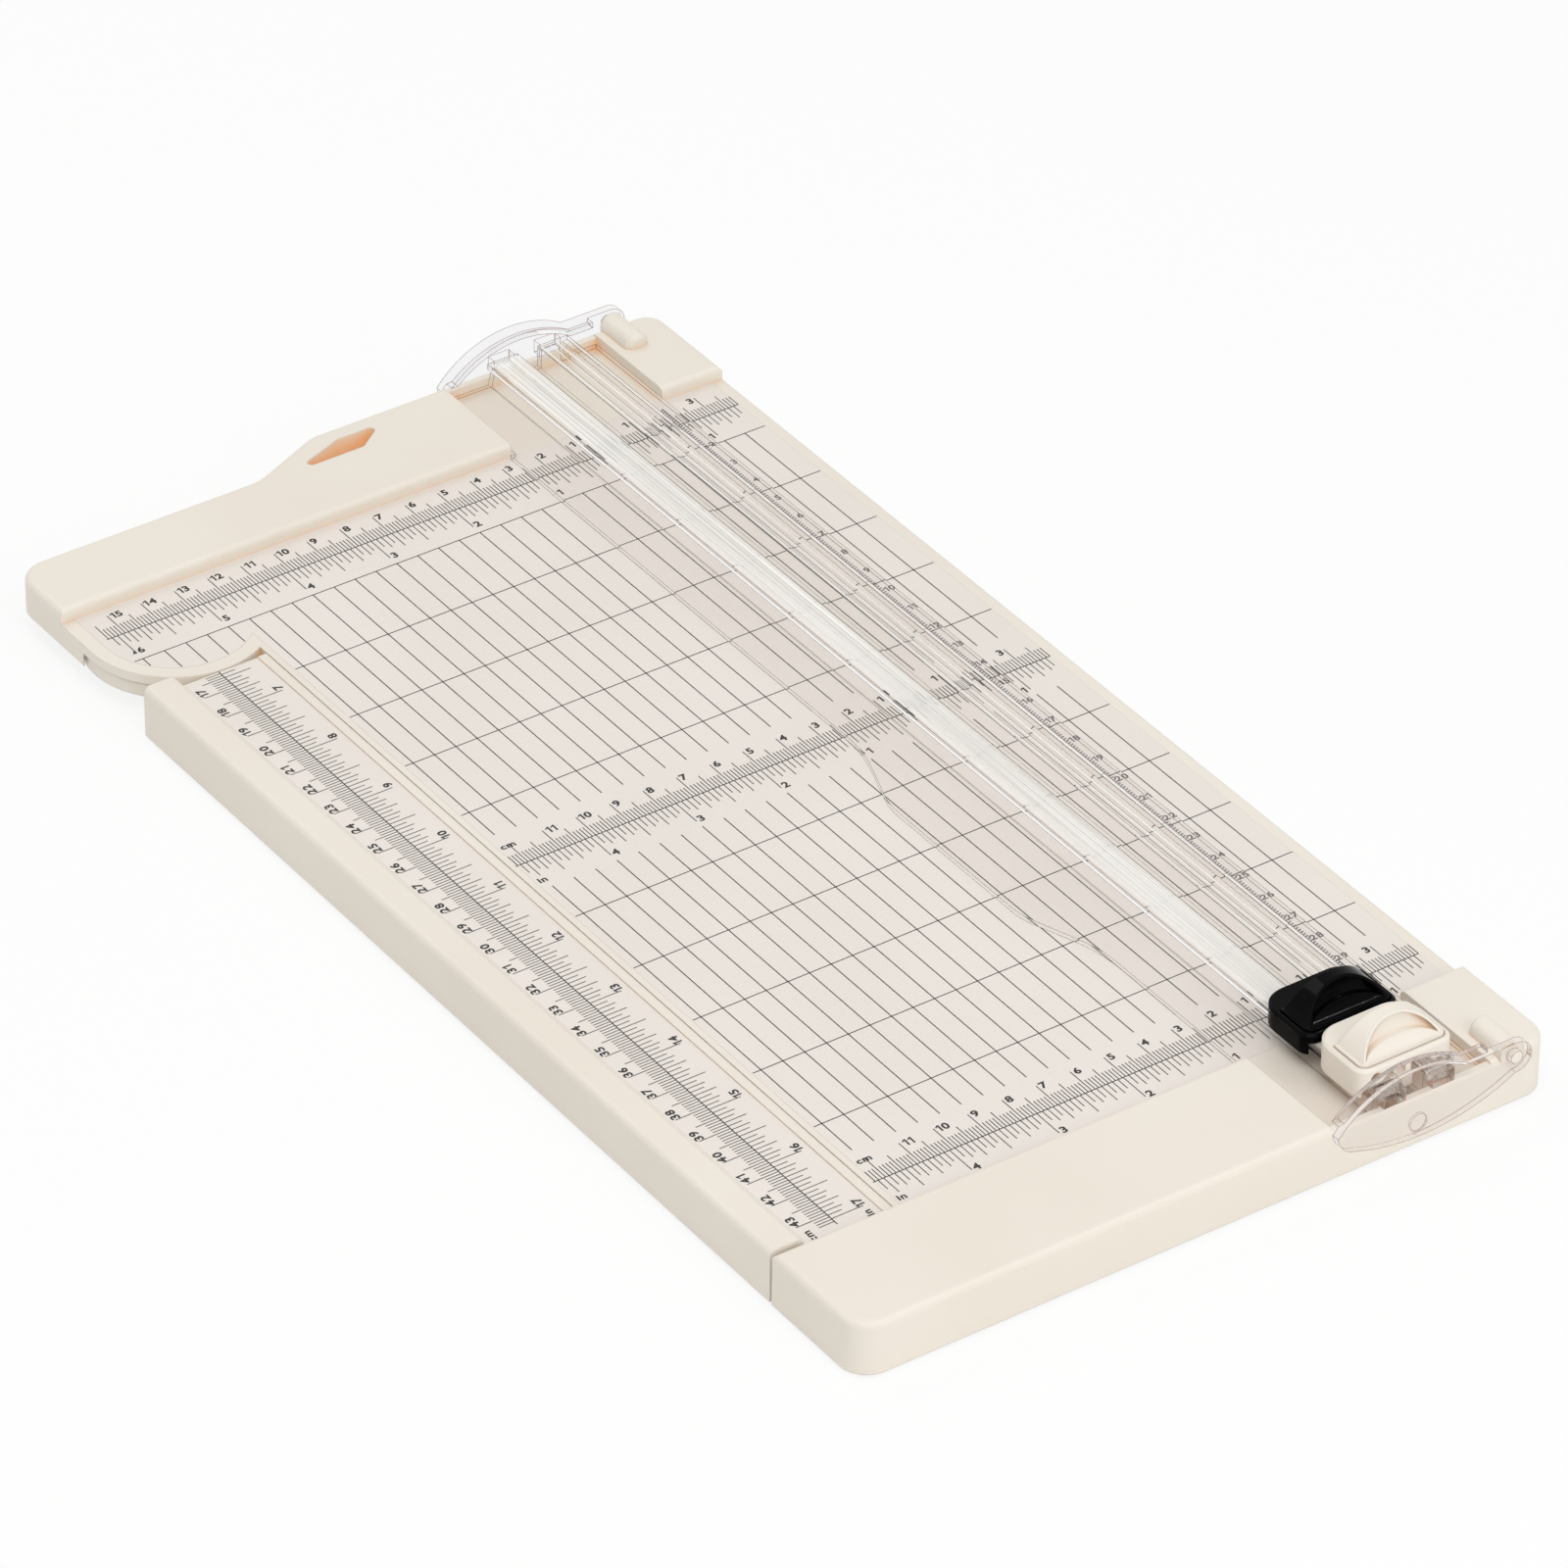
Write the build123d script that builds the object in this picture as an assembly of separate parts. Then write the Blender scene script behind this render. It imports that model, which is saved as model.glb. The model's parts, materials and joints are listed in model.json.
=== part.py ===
"""Portable paper cutter: a flat base with a printed deck, a hinged clear rail that carries a cutting and a
scoring carriage, and a ruler arm that swings out from the rear left corner."""

import os

from build123d import *

# Overall sizes in millimetres. X runs to the right, Y to the rear, Z up from the table.
base_width = 203.0
base_length = 385.0
deck_height = 12.0
bar_rise = 4.0
foot_height = 1.0
front_bar_depth = 35.2
rear_bar_depth = 32.8

# Walls of the mouldings.
wall = 2.2
plate = 2.4
rib = 1.6
rib_recess = 1.0
sheet = 0.35
top_round = 1.8

# Rear bar: its right part steps back and carries the hang hole.
rear_step = 9.6
step_start = 73.7
step_run = 22.0
step_round = 12.0
hole_start = 9.0
hole_length = 22.0
hole_lean = 18.0
hole_right_lean = 9.0
hole_height = 6.6
hole_setback = 5.4
hole_round = 1.2
rear_left_round = 8.0
front_round = 7.5
rear_right_round = 5.5

# Ruler arm and its pivot.
arm_width = 36.1
arm_gap = 0.5
arm_front_gap = 0.8
arm_bottom = 1.2
arm_ribs = 5
rim_width = 8.6
rim_slope = 2.4
inner_rib_width = 2.6
inner_rib_rise = 0.3
pivot_inset = 24.6
pivot_setback = 15.0
pocket_play = 0.3
lobe_gap = 0.6
lobe_bottom = 5.0
lobe_play = 0.45
boss_radius = 6.0
washer_radius = 10.0
washer_thickness = 1.0
washer_play = 0.1
screw_radius = 1.5
screw_play = 0.02
screw_tip_gap = 0.5
screw_head_radius = 3.4
screw_head_height = 1.7
driver_slot = 0.8
left_lift = 4.6

# Printed sheets and cutting mat.
sheet_side_margin = 1.9
sheet_corner_margin = 4.2
sheet_front_margin = 2.3
arm_sheet_margin = 0.9
arm_sheet_play = 0.1
right_ledge = 3.2
mat_width = 6.8
mat_depth = 1.65
mat_end_gap = 2.0
mat_groove_width = 1.2
mat_groove_depth = 1.1
mat_groove_end = 2.0

# Clear rail. Its heights count from the deck and its half widths from the cut line.
cut_from_right = 41.3
rail_gap = 0.3
wing_thickness = 1.2
wing_reach = 25.9
wing_reach_in_bars = 24.3
wing_end_gap = 1.0
rib_foot = 12.4
rib_outer = 11.2
rib_inner = 3.2
rib_lip = 1.3
lip_slope = 0.3
rib_wall = 1.6
rib_top = 8.0
slot_half = 1.2
slot_end_gap = 6.0
track_end_gap = 0.4
flange_reach = 21.6
channel_side_gap = 0.6
end_wall_drop = 0.6
tab_reach = 34.0
tab_length = 100.0
tab_run = 22.0
tab_centre = -51.0

# Hinge of the rail.
hinge_from_cut = 28.2
hinge_height = 4.4
knuckle_radius = 3.5
knuckle_length = 13.0
knuckle_chamfer = 1.4
pin_radius = 1.7
pin_play = 0.05
pin_floor = 2.0

# Clear end plates. Shifts and places along X count from the cut line, heights and drops from the deck.
end_plate = 2.2
end_plate_gap = 0.25
arch_depth = 2.6
arch_side_gap = 1.4
arch_peak = 12.9
peak_shift = 7.0
shoulder_reach = 13.8
lug_radius = 4.4
lug_drop = 1.6
leaf_depth = 6.5
sag_shift = 6.0
heel_reach = 19.5
heel_drop = 3.2
nose_reach = 23.6
nose_drop = 0.9
tip_reach = 25.1
tip_rise = 2.5
catch_radius = 2.5
catch_height = 0.6
catch_shift = 1.5
catch_drop = 2.0

# Carriages: a shuttle on the rail and a knob that is pressed into it.
carriage_length = 20.4
carriage_half_width = 14.2
carriage_front_round = 3.6
carriage_rear_round = 7.6
carriage_pitch = 21.0
carriage_end_gap = 1.4
saddle = 0.9
cut_lift = 2.4
collar = 1.2
collar_rise = 1.6
collar_chamfer = 0.7
window_half = 7.4
window_rise = 3.4
window_post = 1.5
port_reach = 9.6
port_rise = 2.0
port_radius = 1.5
ride_gap = 0.3
skirt = 1.3
hook_gap = 0.4
hook_depth = 0.9
hook_cover = 0.55
hook_half = 4.5
keel_half = 2.8
keel_gap = 0.5
keel_end = 2.2
knob_play = 0.3
knob_plate = 0.8
press_travel = 1.0
press_spare = 0.2

# Half-round thumb grip on each knob. Places along Y count from the carriage's middle.
grip_radius = 12.8
grip_top = 7.8
grip_back_top = 0.4
grip_back_foot = 2.4
grip_front_top = -2.8
grip_front_foot = -8.4
grip_rim = 0.7
dish_half = 10.8
dish_rise = 6.7
dish_radius = 6.0
dish_setback = 3.0
dish_height = 5.8
shelf_rise = 2.6
shelf_radius = 3.6
shelf_setback = 5.4
shelf_height = 3.8

# Blade, scoring tip and springs.
holder_half = 1.3
holder_length = 8.0
holder_end = 0.8
holder_shift = 2.4
blade_seat = 3.0
blade_thickness = 0.5
blade_rest_gap = 0.45
tip_thickness = 1.0
spring_thickness = 0.3
spring_length = 8.0
spring_width = 1.8
spring_offset = 6.5

# Rubber feet.
foot_half = 5.5
foot_inset = 14.0
foot_chamfer = 0.3
pad_margin = 0.8
lobe_foot_x = 21.0
lobe_foot_y = 10.0

# Places that follow from the sizes above.
left = -base_width / 2
right = base_width / 2
front = -base_length / 2
rear = base_length / 2
front_edge = front + front_bar_depth
rear_edge = rear - rear_bar_depth
rear_left = rear - rear_step
bar_top = deck_height + bar_rise
plate_bottom = deck_height - sheet - plate
cut_x = right - cut_from_right
deck_left = left + arm_width + arm_gap
pivot_x = left + pivot_inset
pivot_y = rear_edge - pivot_setback
hinge_x = cut_x + hinge_from_cut
hinge_z = deck_height + hinge_height
channel_left = cut_x - wing_reach_in_bars - channel_side_gap
channel_right = cut_x + flange_reach + channel_side_gap
track_end = rear - wall - track_end_gap
above = 3 * bar_top


def block(x0, x1, y0, y1, z0, z1):
    """A box between two corners."""
    return Pos((x0 + x1) / 2, (y0 + y1) / 2, (z0 + z1) / 2) * Box(abs(x1 - x0), abs(y1 - y0), z1 - z0)


def post(x, y, radius, z0, z1):
    """An upright cylinder."""
    return Pos(x, y, (z0 + z1) / 2) * Cylinder(radius, z1 - z0)


def rod(x, z, radius, y0, y1):
    """A cylinder along Y."""
    return Pos(x, (y0 + y1) / 2, z) * Rot(90, 0, 0) * Cylinder(radius, abs(y1 - y0))


def roller(y, z, radius):
    """A cylinder along X across a whole carriage."""
    return Pos(cut_x, y, z) * Rot(0, 90, 0) * Cylinder(radius, 2 * carriage_half_width)


def area(x0, x1, y0, y1):
    """A flat rectangle seen from above."""
    return Pos((x0 + x1) / 2, (y0 + y1) / 2) * Rectangle(x1 - x0, y1 - y0)


def shape(points):
    """A flat closed outline of straight sides."""
    return make_face(Polyline(points, close=True))


def rise(plan, z0, z1):
    """The solid above a flat plan between two heights."""
    return extrude(Pos(0, 0, z0) * plan, z1 - z0)


def along(profile, y0, y1):
    """The solid of an X and Z profile between two places on Y."""
    return extrude(Plane((0, max(y0, y1), 0), x_dir=(1, 0, 0), z_dir=(0, -1, 0)) * profile, abs(y1 - y0))


def across(profile, x0, x1):
    """The solid of a Y and Z profile between two places on X."""
    return extrude(Plane((x0, 0, 0), x_dir=(0, 1, 0), z_dir=(1, 0, 0)) * profile, x1 - x0)


def arc_radius(half, height):
    """The radius of an arc of a given half width and height."""
    return (half ** 2 + height ** 2) / (2 * height)


def foot_pad(x, y, half, z0, z1):
    """A square block under the base."""
    return block(x - half, x + half, y - half, y + half, z0, z1)


def round_corner(plan, x, y, radius):
    """The plan with the corner nearest to a place rounded."""
    nearest = min(plan.vertices(), key=lambda v: (v.X - x) ** 2 + (v.Y - y) ** 2)
    return fillet(nearest, radius)


def round_top(solid, radius):
    """The solid with every edge of its top face rounded."""
    return fillet(solid.faces().sort_by(Axis.Z)[-1].edges(), radius)


def save(node, solid):
    """Writes one node."""
    export_step(solid, f"parts/{node}.step")


os.makedirs("parts", exist_ok=True)

# Base plan: front bar, deck, rear bar and the round corner about the arm's pivot.
step_left = left + step_start
corner_half = Pos(pivot_x, pivot_y) * Circle(pivot_inset)
corner_half &= area(left - wall, right, pivot_y - 2 * pivot_inset, pivot_y)
base_plan = area(left, right, front, front_edge) + area(deck_left, right, front, rear_left)
base_plan += area(left, right, pivot_y, rear_left) + corner_half
step_points = [(step_left, rear_left), (step_left + step_run, rear), (right, rear), (right, rear_left)]
base_plan += shape(step_points)
base_plan = round_corner(base_plan, left, rear_left, rear_left_round)
base_plan = round_corner(base_plan, right, rear, rear_right_round)
base_plan = round_corner(base_plan, left, front, front_round)
base_plan = round_corner(base_plan, right, front, front_round)
base_plan = round_corner(base_plan, step_left, rear_left, step_round)
base_plan = round_corner(base_plan, step_left + step_run, rear, step_round)
inner_plan = offset(base_plan, -wall)

# Base moulding: deck plate with raised bars, hollow from below.
front_zone = area(left, right, front, front_edge)
rear_zone = area(left, right, rear_edge, rear)
front_bar = round_top(rise(base_plan & front_zone, foot_height, bar_top), top_round)
rear_bar = round_top(rise(base_plan & rear_zone, foot_height, bar_top), top_round)
base_shell = rise(base_plan, foot_height, deck_height) + front_bar + rear_bar
base_shell -= rise(inner_plan, 0, plate_bottom)
bar_hollows = area(left, channel_left - wall, front, front_edge - wall)
bar_hollows += area(left, channel_left - wall, rear_edge + wall, rear)
base_shell -= rise(inner_plan & bar_hollows, plate_bottom - rib, bar_top - plate)

# Stiffening ribs under the plate.
ribs = Sketch()
for share in (0.3, 0.5, 0.7, 0.9):
    rib_x = left + share * base_width
    ribs += area(rib_x - rib / 2, rib_x + rib / 2, front, rear)
for share in (0.2, 0.4, 0.6, 0.8):
    rib_y = front + share * base_length
    ribs += area(left, right, rib_y - rib / 2, rib_y + rib / 2)
base_shell += rise(ribs & inner_plan, foot_height + rib_recess, plate_bottom)

# Pads above the feet, run into the middle of the plate above them.
bar_roof = bar_top - plate / 2
plate_roof = plate_bottom + plate / 2
feet_places = [
    (left + foot_inset, front + foot_inset, bar_roof),
    (right - foot_inset, front + foot_inset, plate_roof),
    (right - foot_inset, rear - foot_inset, plate_roof),
    (pivot_x + lobe_foot_x, rear_edge + lobe_foot_y, bar_roof),
    (deck_left + foot_inset, 0, plate_roof),
    (right - foot_inset, 0, plate_roof),
]
for foot_x, foot_y, roof in feet_places:
    base_shell += foot_pad(foot_x, foot_y, foot_half + pad_margin, foot_height, roof)

# Pocket for the arm's lobe, with the pivot boss in its middle, and the raised left skirt beside it.
base_shell -= post(pivot_x, pivot_y, pivot_inset + pocket_play, 0, plate_bottom)
lift_reach = left + rear_left_round + wall
base_shell -= block(left - wall, lift_reach, front_edge, rear, 0, foot_height + left_lift)
boss_bottom = lobe_bottom - pin_play
base_shell += post(pivot_x, pivot_y, boss_radius, boss_bottom, plate_roof)
base_shell -= post(pivot_x, pivot_y, screw_radius + screw_play, 0, plate_bottom)

# Hang hole with its sleeve.
hole_front = rear - hole_setback - hole_height
hole_rear = rear - hole_setback
hole_left = step_left + hole_start
hole_points = [
    (hole_left, hole_front),
    (hole_left + hole_length, hole_front),
    (hole_left + hole_length + hole_right_lean, hole_rear),
    (hole_left + hole_lean, hole_rear),
]
hole_plan = shape(hole_points)
hole_plan = fillet(hole_plan.vertices(), hole_round)
base_shell += rise(offset(hole_plan, rib), foot_height, bar_roof)
base_shell -= rise(hole_plan, 0, above)

# Channel for the rail across both bars, leaving a low wall at each end.
base_shell -= block(channel_left, channel_right, front + wall, front_edge + wall, deck_height, above)
base_shell -= block(channel_left, channel_right, rear_edge - wall, rear - wall, deck_height, above)
base_shell -= block(channel_left, channel_right, front - wall, rear + wall, bar_top - end_wall_drop, above)

# Knuckles for the hinge pins, with a bevelled inner end.
for towards in (-1, 1):
    knuckle_end = towards * (rear - knuckle_length)
    knuckle = rod(hinge_x, hinge_z, knuckle_radius, knuckle_end, towards * rear)
    inner_edge = knuckle.edges().sort_by(lambda edge: abs(edge.center().Y))[0]
    base_shell += chamfer(inner_edge, knuckle_chamfer)
    bore_end = knuckle_end + towards * pin_floor
    base_shell -= rod(hinge_x, hinge_z, pin_radius, bore_end, towards * (rear + wall))

# Printed deck sheet, sunk flush into the plate on both sides of the mat.
sheet_front = front_edge + sheet_front_margin
sheet_plan = area(deck_left + sheet_side_margin, right - right_ledge, sheet_front, rear_edge)
sheet_plan += area(left + sheet_corner_margin, cut_x, pivot_y, rear_edge)
sheet_corner = Pos(pivot_x, pivot_y) * Circle(pivot_inset - sheet_corner_margin)
sheet_plan += sheet_corner & area(left, right, pivot_y - pivot_inset, pivot_y)
mat_left = cut_x - mat_width / 2
mat_right = cut_x + mat_width / 2
mat_front = front + wall + mat_end_gap
mat_rear = rear - wall - mat_end_gap
sheet_pocket = rise(sheet_plan, deck_height - sheet, above)
mat_pocket = block(mat_left, mat_right, mat_front, mat_rear, deck_height - mat_depth, above)
base_shell -= sheet_pocket & block(left, right, front_edge, rear_edge, 0, above)
base_shell -= mat_pocket
save("base_shell", base_shell)

deck_sheet = rise(sheet_plan, deck_height - sheet, deck_height) - mat_pocket
save("deck_sheet", deck_sheet)

# Soft strip under the cut line, with the groove that the blade runs in.
groove_half = mat_groove_width / 2
groove_front = mat_front + mat_groove_end
groove_rear = mat_rear - mat_groove_end
groove_floor = deck_height - mat_groove_depth
cutting_mat = block(mat_left, mat_right, mat_front, mat_rear, deck_height - mat_depth, deck_height)
cutting_mat -= block(cut_x - groove_half, cut_x + groove_half, groove_front, groove_rear,
                     groove_floor, above)
save("cutting_mat", cutting_mat)

# Rubber feet.
rubber_feet = Part()
for foot_x, foot_y, roof in feet_places:
    foot = foot_pad(foot_x, foot_y, foot_half, 0, foot_height)
    rubber_feet += chamfer(foot.edges().group_by(Axis.Z)[0], foot_chamfer)
save("rubber_feet", rubber_feet)

# Ruler arm: a hollow bar with a raised outer rim, and the lobe that turns under the deck's corner.
arm_inner = deck_left - arm_gap
arm_front = front_edge + arm_front_gap
arm_rear = pivot_y - pivot_inset - arm_gap
rib_x = arm_inner - inner_rib_width
slope_x = left + rim_width + rim_slope
arm_section = shape(
    [
        (left, arm_bottom),
        (left, bar_top),
        (left + rim_width, bar_top),
        (slope_x, deck_height),
        (rib_x, deck_height),
        (rib_x, deck_height + inner_rib_rise),
        (arm_inner, deck_height + inner_rib_rise),
        (arm_inner, arm_bottom),
    ]
)
arm_section = round_corner(arm_section, left, bar_top, top_round)
arm_section = round_corner(arm_section, left + rim_width, bar_top, top_round)
arm_section = round_corner(arm_section, slope_x, deck_height, top_round)
arm_bar = along(arm_section, arm_front, arm_rear)
arm_hollow = block(left + wall, arm_inner - wall, arm_front + wall, arm_rear - wall, 0, plate_bottom)
arm_hollow += block(left + wall, left + rim_width, arm_front + wall, arm_rear - wall, 0, bar_top - plate)
for number in range(1, arm_ribs + 1):
    rib_y = arm_front + number * (arm_rear - arm_front) / (arm_ribs + 1)
    arm_hollow -= block(left, arm_inner, rib_y - rib / 2, rib_y + rib / 2, arm_bottom + rib_recess, above)
arm_bar -= arm_hollow
lobe_top = plate_bottom - lobe_play
neck_left = pivot_x - wall
neck_right = arm_inner - arm_gap
neck_front = arm_rear - wall - rib
arm_bar += post(pivot_x, pivot_y, pivot_inset - lobe_gap, lobe_bottom, lobe_top)
arm_bar += block(neck_left, neck_right, neck_front, pivot_y - pivot_inset / 2, lobe_bottom, lobe_top)
arm_bar -= post(pivot_x, pivot_y, boss_radius + pin_play, 0, above)
arm_sheet_front = arm_front + arm_sheet_margin
arm_sheet_rear = arm_rear - arm_sheet_margin
arm_sheet_plan = area(slope_x + arm_sheet_margin, rib_x - arm_sheet_play, arm_sheet_front, arm_sheet_rear)
arm_bar -= rise(arm_sheet_plan, deck_height - sheet, above)
save("arm_bar", arm_bar)
save("arm_sheet", rise(arm_sheet_plan, deck_height - sheet, deck_height))

# Washer and screw that hold the lobe on its boss.
washer_bottom = boss_bottom - washer_thickness
pivot_washer = post(pivot_x, pivot_y, washer_radius, washer_bottom, boss_bottom)
pivot_washer -= post(pivot_x, pivot_y, screw_radius + washer_play, 0, above)
save("pivot_washer", pivot_washer)
head_bottom = washer_bottom - screw_head_height
slot_front = pivot_y - driver_slot / 2
slot_rear = pivot_y + driver_slot / 2
pivot_screw = post(pivot_x, pivot_y, screw_head_radius, head_bottom, washer_bottom)
pivot_screw += post(pivot_x, pivot_y, screw_radius, head_bottom + driver_slot, plate_bottom - screw_tip_gap)
pivot_screw -= block(pivot_x - screw_head_radius, pivot_x + screw_head_radius, slot_front, slot_rear,
                     0, head_bottom + driver_slot)
save("pivot_screw", pivot_screw)

# Clear rail: two hollow ribs beside the blade slot, a thin wing with a lift tab and a ruler flange.
rail_bottom = deck_height + rail_gap
wing_top = rail_bottom + wing_thickness
floor_top = rail_bottom + rib_wall
rib_high = deck_height + rib_top
lip_low = rib_high - rib_wall
rail_section = shape(
    [
        (cut_x - wing_reach_in_bars, rail_bottom),
        (cut_x - wing_reach_in_bars, wing_top),
        (cut_x - rib_foot, wing_top),
        (cut_x - rib_outer, lip_low - lip_slope),
        (cut_x - rib_outer - rib_lip, lip_low),
        (cut_x - rib_outer - rib_lip, rib_high),
        (cut_x - rib_inner, rib_high),
        (cut_x - rib_inner, floor_top),
        (cut_x + rib_inner, floor_top),
        (cut_x + rib_inner, rib_high),
        (cut_x + rib_outer + rib_lip, rib_high),
        (cut_x + rib_outer + rib_lip, lip_low),
        (cut_x + rib_outer, lip_low - lip_slope),
        (cut_x + rib_foot, floor_top),
        (cut_x + flange_reach, floor_top),
        (cut_x + flange_reach, rail_bottom),
    ]
)
for side in (-1, 1):
    rib_hollow = [
        (cut_x + side * (rib_foot - rib_wall), rail_bottom),
        (cut_x + side * (rib_outer - rib_wall), lip_low),
        (cut_x + side * (rib_inner + rib_wall), lip_low),
        (cut_x + side * (rib_inner + rib_wall), rail_bottom),
    ]
    rail_section -= shape(rib_hollow)
rail_track = along(rail_section, -track_end, track_end)
slot_end = track_end - slot_end_gap
rail_track -= block(cut_x - slot_half, cut_x + slot_half, -slot_end, slot_end, 0, bar_top)
tab_near = tab_centre - tab_length / 2
tab_far = tab_centre + tab_length / 2
tab_points = [
    (cut_x - wing_reach, tab_near),
    (cut_x - tab_reach, tab_near + tab_run),
    (cut_x - tab_reach, tab_far - tab_run),
    (cut_x - wing_reach, tab_far),
]
wing_inner = cut_x - wing_reach_in_bars + wall
wing_plan = area(cut_x - wing_reach, wing_inner, front_edge + wing_end_gap, rear_edge - wing_end_gap)
wing_plan += shape(tab_points)
for tab_y in (tab_near, tab_far):
    wing_plan = round_corner(wing_plan, cut_x - wing_reach, tab_y, 2 * tab_run)
for tab_y in (tab_near + tab_run, tab_far - tab_run):
    wing_plan = round_corner(wing_plan, cut_x - tab_reach, tab_y, tab_run)
rail_track += rise(wing_plan, rail_bottom, wing_top)
save("rail_track", rail_track)


def leaf_outline(inset):
    """The end plate's outline in X and Z, without its lug, drawn in by an inset."""
    tip = (cut_x - tip_reach + inset, deck_height + tip_rise)
    shoulder = (cut_x + shoulder_reach, hinge_z + lug_radius - inset)
    peak = (cut_x - peak_shift, deck_height + arch_peak - inset)
    heel = (cut_x - heel_reach, deck_height - heel_drop + inset)
    sag = (cut_x + sag_shift, deck_height - leaf_depth + inset)
    nose = (cut_x - nose_reach + inset, deck_height - nose_drop)
    lug_top = (hinge_x, hinge_z + lug_radius - inset)
    lug_low = (hinge_x + lug_radius - inset, hinge_z - lug_drop)
    outline = ThreePointArc(tip, peak, shoulder) + Line(shoulder, lug_top) + Line(lug_top, lug_low)
    outline += ThreePointArc(lug_low, sag, heel)
    outline += ThreePointArc(heel, nose, tip)
    return make_face(outline)


def end_plate_solid(towards):
    """The clear plate at one end; towards is -1 for the front end and 1 for the rear end."""
    inside = towards * (rear + end_plate_gap)
    outside = inside + towards * end_plate
    arch_end = inside - towards * arch_depth
    solid = along(leaf_outline(0), inside, outside)
    solid += rod(hinge_x, hinge_z, lug_radius, inside, outside)
    arch = along(leaf_outline(0), inside, arch_end) - along(leaf_outline(rib_wall), inside, arch_end)
    arch_low = bar_top + rail_gap
    solid += arch & block(channel_left, channel_right - arch_side_gap, inside, arch_end, arch_low, above)
    for side in (-1, 1):
        seat = cut_x + side * (rib_inner + rib_outer) / 2
        reach = (rib_outer - rib_inner) / 2 - rib_wall / 2
        solid += block(seat - reach, seat + reach, inside, towards * track_end, arch_low, rib_high)
    return solid - rod(hinge_x, hinge_z, pin_radius + pin_play, arch_end, outside + towards * wall)


front_end_plate = end_plate_solid(-1)
catch_x = cut_x - catch_shift
catch_z = deck_height - catch_drop
plate_face = front - end_plate_gap - end_plate
front_end_plate += rod(catch_x, catch_z, catch_radius, plate_face - catch_height, plate_face)
save("front_end_plate", front_end_plate)
save("rear_end_plate", end_plate_solid(1))

# Hinge pins: pressed into the knuckles, and flush with the outer face of each end plate.
for node, towards in (("front_hinge_pin", -1), ("rear_hinge_pin", 1)):
    seat_y = towards * (rear - knuckle_length + pin_floor)
    face_y = towards * (rear + end_plate_gap + end_plate)
    save(node, rod(hinge_x, hinge_z, pin_radius, seat_y, face_y))

# Heights and places inside the carriages.
saddle_bottom = rib_high + ride_gap
saddle_top = saddle_bottom + saddle
collar_top = saddle_top + collar_rise
knob_bottom = saddle_top + press_travel + press_spare
knob_top = knob_bottom + knob_plate
hook_top = lip_low - hook_gap
hook_bottom = hook_top - hook_depth
keel_bottom = floor_top + keel_gap
holder_bottom = floor_top + press_travel + ride_gap
blade_bottom = deck_height + blade_rest_gap
half_length = carriage_length / 2
cut_y = -(rear + end_plate_gap - arch_depth - carriage_end_gap - half_length)
score_y = cut_y + carriage_pitch


def pad(inset, centre_y):
    """A carriage's plan about a place on the cut line, drawn in by an inset."""
    half_x = carriage_half_width - inset
    near = centre_y - half_length + inset
    far = centre_y + half_length - inset
    plan = area(cut_x - half_x, cut_x + half_x, near, far)
    for x in (cut_x - half_x, cut_x + half_x):
        plan = round_corner(plan, x, near, carriage_front_round - inset)
        plan = round_corner(plan, x, far, carriage_rear_round - inset)
    return plan


def front_pad(inset, centre_y, back):
    """The part of a carriage's plan in front of a place behind its middle."""
    near = centre_y - half_length
    zone = area(cut_x - carriage_half_width, cut_x + carriage_half_width, near, centre_y + back)
    return pad(inset, centre_y) & zone


def shuttle(centre_y, lift):
    """The part of a carriage that clips over the rail's ribs, raised by a lift."""
    near = centre_y - half_length
    far = centre_y + half_length
    inner = carriage_half_width - skirt
    floor = saddle_top + lift
    body = rise(pad(0, centre_y), hook_bottom, collar_top + lift)
    body = chamfer(body.faces().sort_by(Axis.Z)[-1].edges(), collar_chamfer)
    body -= rise(front_pad(collar, centre_y, grip_back_foot + knob_play), floor, above)
    body -= block(cut_x - inner, cut_x + inner, near, far, 0, saddle_bottom)
    if lift > 0:
        body -= rise(pad(collar, centre_y), 0, saddle_bottom + lift)
        body -= windows(near)
    for side in (-1, 1):
        edge_in = cut_x + side * (rib_outer + rib_lip - hook_cover)
        edge_out = cut_x + side * (inner + skirt / 2)
        body += block(edge_in, edge_out, centre_y - hook_half, centre_y + hook_half, hook_bottom, hook_top)
    body += block(cut_x - keel_half, cut_x + keel_half, near + keel_end, far - keel_end, keel_bottom, floor)
    guide_x = holder_half + knob_play
    guide_near = centre_y - holder_shift - holder_length / 2 - knob_play
    guide_far = guide_near + holder_length + 2 * knob_play
    return body - block(cut_x - guide_x, cut_x + guide_x, guide_near, guide_far, 0, above)


def windows(near):
    """The arched window, halved by a post, and the round port in a carriage's front wall."""
    arch = arc_radius(window_half, window_rise)
    cut = rod(cut_x, saddle_bottom + window_rise - arch, arch, near, near + collar)
    cut &= block(cut_x - window_half, cut_x + window_half, near, near + collar, saddle_bottom, above)
    cut -= block(cut_x - window_post / 2, cut_x + window_post / 2, near, near + collar, 0, above)
    port_x = cut_x - port_reach
    return cut + rod(port_x, saddle_bottom + port_rise, port_radius, near, near + carriage_front_round)


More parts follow.
